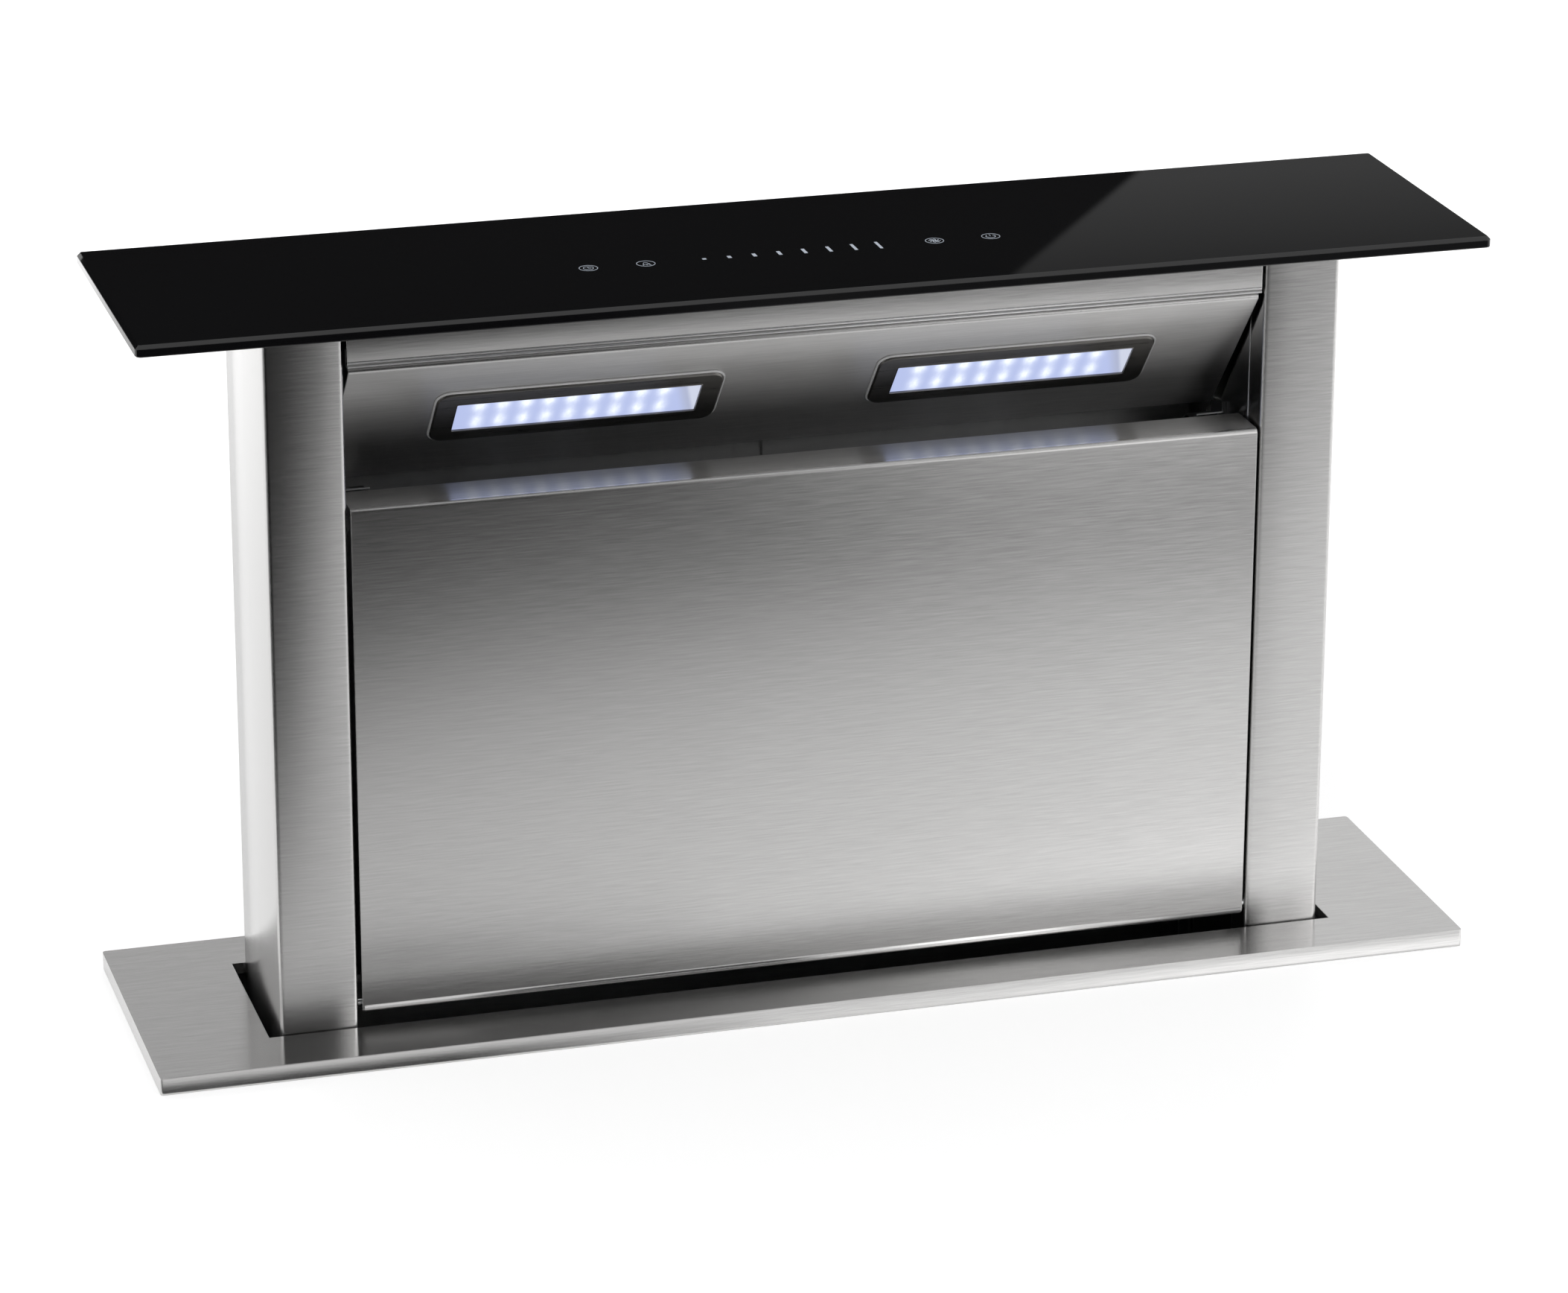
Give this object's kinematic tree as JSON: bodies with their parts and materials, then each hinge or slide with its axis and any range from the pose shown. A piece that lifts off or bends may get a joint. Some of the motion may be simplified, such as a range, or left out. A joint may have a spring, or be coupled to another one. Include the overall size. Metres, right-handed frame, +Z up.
{
  "type": "downdraft vent",
  "caption": "Rising downdraft vent: steel tower with tilting front panel, lamps and black glass top, in a worktop plate, over a chassis with lift drive and blower.",
  "frame": {"origin": "middle of the worktop cut-out, at the worktop's surface, under the plate", "axes": "+Z up, +X to the right as the cook stands, -Y towards the cook"},
  "size_m": [0.6, 0.2794, 0.936],
  "materials": {
    "brushed_steel": "brushed stainless sheet",
    "zinc_sheet": "galvanised sheet",
    "chrome": "bright plated",
    "aluminium": "satin",
    "brass": "turned",
    "black_glass": "opaque black, polished",
    "lamp_glass": "clear with fine ribs",
    "dark_trim": "dark satin",
    "black_plastic": "moulded",
    "grey_plastic": "moulded",
    "white_plastic": "low-friction moulding",
    "motor_paint": "painted casing",
    "belt_rubber": "toothed belt"
  },
  "bodies": {
    "chassis": {"worktop_plate": "brushed_steel", "chassis_front": "zinc_sheet", "chassis_rear": "zinc_sheet", "chassis_side_left": "zinc_sheet", "chassis_side_right": "zinc_sheet", "chassis_base": "zinc_sheet", "guide_rail_left": "zinc_sheet", "guide_rail_right": "zinc_sheet", "drive_shelf": "zinc_sheet", "lift_motor": "motor_paint", "drive_belt": "belt_rubber", "limit_switch_upper": "black_plastic", "limit_switch_lower": "black_plastic", "scroll_housing": "zinc_sheet", "scroll_cover": "zinc_sheet", "blower_motor": "motor_paint", "outlet_adapter": "black_plastic", "damper_pin": "chrome", "control_box": "grey_plastic", "control_box_lid": "grey_plastic", "mains_gland": "black_plastic", "worktop_clamp_left": "zinc_sheet", "worktop_clamp_right": "zinc_sheet", "floor_bracket_left": "zinc_sheet", "floor_bracket_right": "zinc_sheet"},
    "tower": {"column_left": "brushed_steel", "column_right": "brushed_steel", "column_liner_left": "brushed_steel", "column_liner_right": "brushed_steel", "column_foot_left": "white_plastic", "column_foot_right": "white_plastic", "lift_nut_left": "brass", "lift_nut_right": "brass", "tower_rear": "brushed_steel", "header_rail": "brushed_steel", "lamp_panel": "brushed_steel", "lamp_bezel_left": "dark_trim", "lamp_bezel_right": "dark_trim", "lamp_lens_left": "lamp_glass", "lamp_lens_right": "lamp_glass", "led_board_left": "aluminium", "led_board_right": "aluminium", "glass_carrier": "zinc_sheet", "glass_top": "black_glass", "touch_module": "black_plastic", "sill_rail": "brushed_steel", "hinge_rod": "chrome", "grease_filter_left": "aluminium", "grease_filter_right": "aluminium", "panel_catch_left": "chrome", "panel_catch_right": "chrome"},
    "panel": {"front_panel": "brushed_steel"},
    "handle_left": {"filter_handle_left": "chrome"},
    "handle_right": {"filter_handle_right": "chrome"},
    "screw_left": {"lead_screw_left": "chrome"},
    "screw_right": {"lead_screw_right": "chrome"},
    "motor_drive": {"motor_pulley": "aluminium"},
    "blower_rotor": {"blower_wheel": "black_plastic"},
    "flap_front": {"damper_flap_front": "grey_plastic"},
    "flap_rear": {"damper_flap_rear": "grey_plastic"}
  },
  "joints": [
    {"name": "tower_lift", "type": "slide", "parent": "chassis", "child": "tower", "axis": [0, 0, 1], "range_m": [-0.32, 0]},
    {"name": "panel_tilt", "type": "hinge", "parent": "tower", "child": "panel", "pos_m": [0, -0.037, 0.0183], "axis": [1, 0, 0], "range_deg": [0, 60]},
    {"name": "handle_left_swing", "type": "hinge", "parent": "tower", "child": "handle_left", "pos_m": [-0.10175, 0.01148, 0.19252], "axis": [1, 0, 0], "range_deg": [-100, 0]},
    {"name": "handle_right_swing", "type": "hinge", "parent": "tower", "child": "handle_right", "pos_m": [0.10175, 0.01148, 0.19252], "axis": [1, 0, 0], "range_deg": [-100, 0]},
    {"name": "screw_left_spin", "type": "hinge", "parent": "chassis", "child": "screw_left", "pos_m": [-0.222, 0.01, -0.24], "axis": [0, 0, 1], "continuous": true},
    {"name": "screw_right_spin", "type": "hinge", "parent": "chassis", "child": "screw_right", "pos_m": [0.222, 0.01, -0.24], "axis": [0, 0, 1], "continuous": true},
    {"name": "motor_spin", "type": "hinge", "parent": "chassis", "child": "motor_drive", "pos_m": [0, -0.022, -0.43], "axis": [0, 0, 1], "continuous": true},
    {"name": "blower_spin", "type": "hinge", "parent": "chassis", "child": "blower_rotor", "pos_m": [0, -0.1, -0.33], "axis": [0, 1, 0], "continuous": true},
    {"name": "flap_front_swing", "type": "hinge", "parent": "chassis", "child": "flap_front", "pos_m": [0.188, -0.1323, -0.435], "axis": [0, 0, 1], "range_deg": [0, 75], "stiffness_Nm_per_rad": 0.02},
    {"name": "flap_rear_swing", "type": "hinge", "parent": "chassis", "child": "flap_rear", "pos_m": [0.188, -0.1323, -0.435], "axis": [0, 0, 1], "range_deg": [-75, 0], "stiffness_Nm_per_rad": 0.02}
  ],
  "couplings": [
    {"joint": "screw_left_spin", "follows": "tower_lift", "rad_per_m": 628.32},
    {"joint": "screw_right_spin", "follows": "tower_lift", "rad_per_m": 628.32},
    {"joint": "motor_spin", "follows": "tower_lift", "rad_per_m": 628.32}
  ]
}
